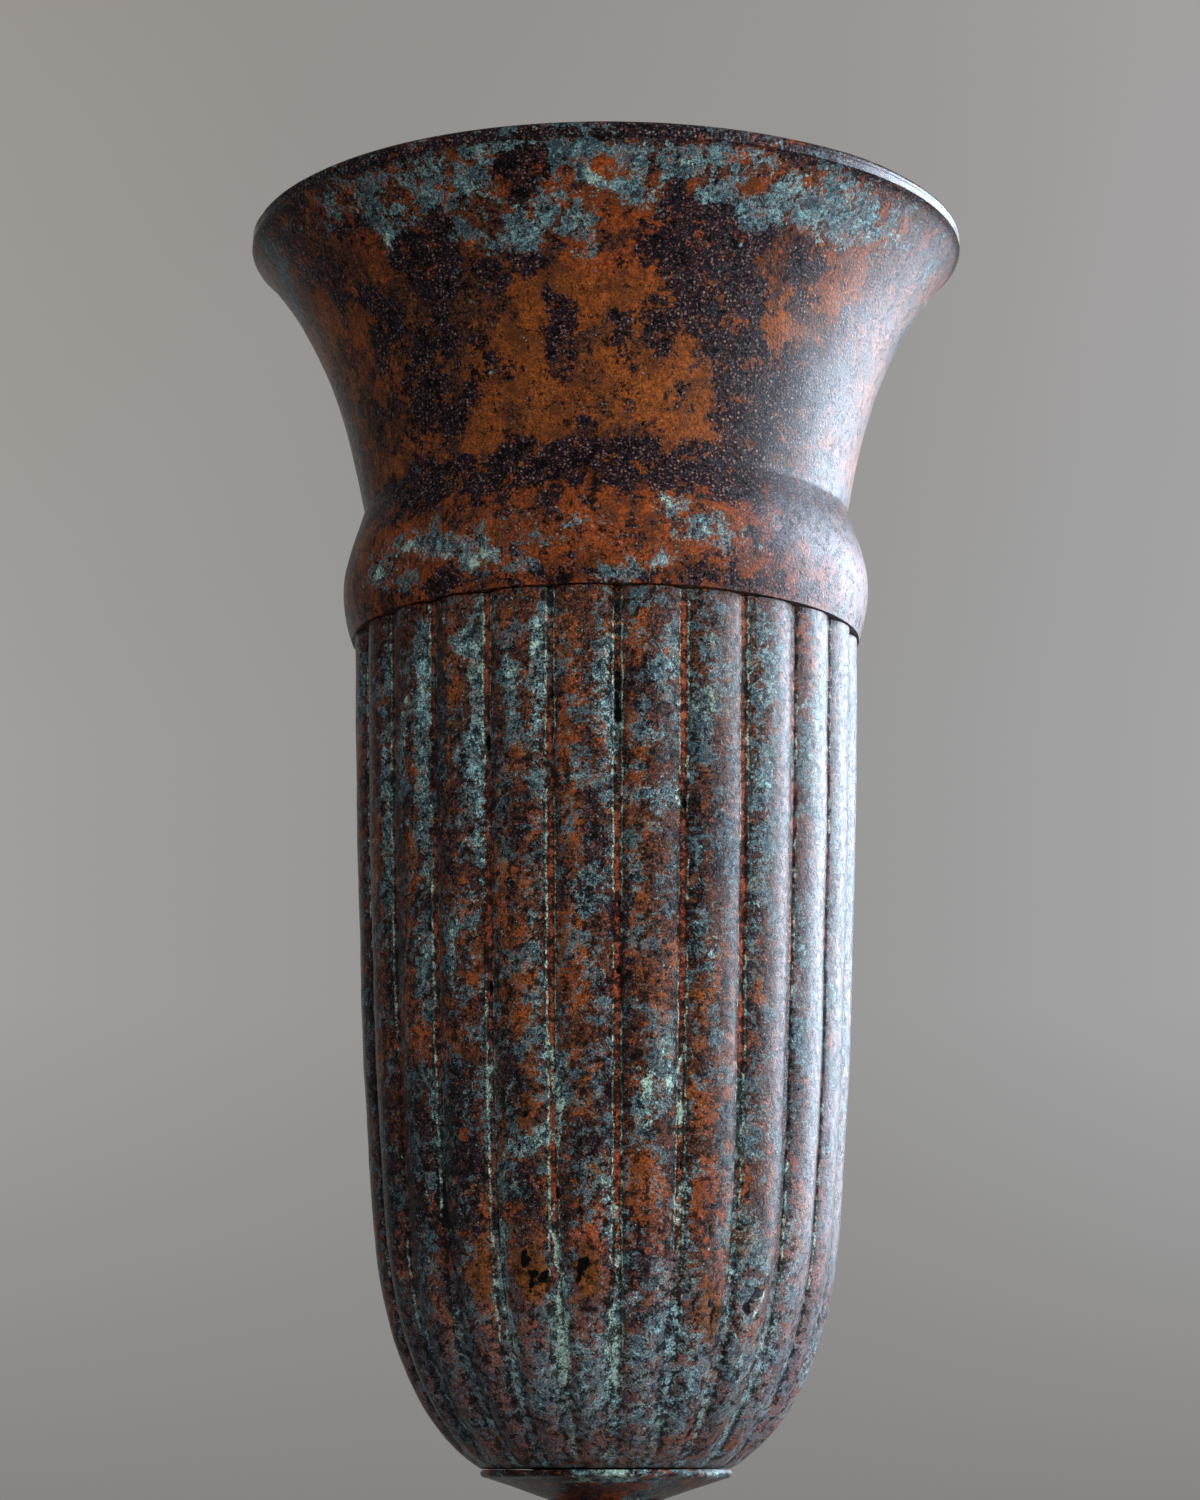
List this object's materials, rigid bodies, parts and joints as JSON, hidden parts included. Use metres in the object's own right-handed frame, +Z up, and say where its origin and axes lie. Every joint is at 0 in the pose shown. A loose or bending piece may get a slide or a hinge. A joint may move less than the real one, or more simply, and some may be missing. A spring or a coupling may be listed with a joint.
{
  "type": "cast iron vase",
  "caption": "Tall round cast iron vase: reeded beaker on a narrow stem and stepped round foot, with a rolled collar and flared trumpet mouth, weathered finish.",
  "frame": {"origin": "centre of the foot's resting face, on the surface that the vase stands on", "axes": "+Z up along the vase's axis, -Y towards the side that the picture shows, +X to the right in the picture"},
  "size_m": [0.201, 0.201, 0.4253],
  "materials": {
    "mouth_iron": "weathered, black iron with orange rust below and blue-green patina under the lip",
    "body_iron": "weathered, rust brown and purple-black with blue-green patina along the channels",
    "stem_iron": "weathered, rust brown with blue-green patina on the ledge",
    "foot_iron": "weathered, rust brown and black with blue-green patina in the hollows",
    "joint_putty": "hardened dark jointing compound",
    "steel_fixings": "dull steel with light rust",
    "gasket_rubber": "matt black rubber"
  },
  "bodies": {
    "root": {"foot_casting": "foot_iron", "stem_casting": "stem_iron", "body_casting": "body_iron", "mouth_casting": "mouth_iron", "joint_seal": "joint_putty", "joint_screw_1": "steel_fixings", "joint_screw_2": "steel_fixings", "joint_screw_3": "steel_fixings", "tie_rod": "steel_fixings", "floor_gasket": "gasket_rubber", "upper_washer": "steel_fixings", "upper_nut": "steel_fixings", "lower_washer": "steel_fixings", "lower_nut": "steel_fixings"}
  },
  "joints": []
}
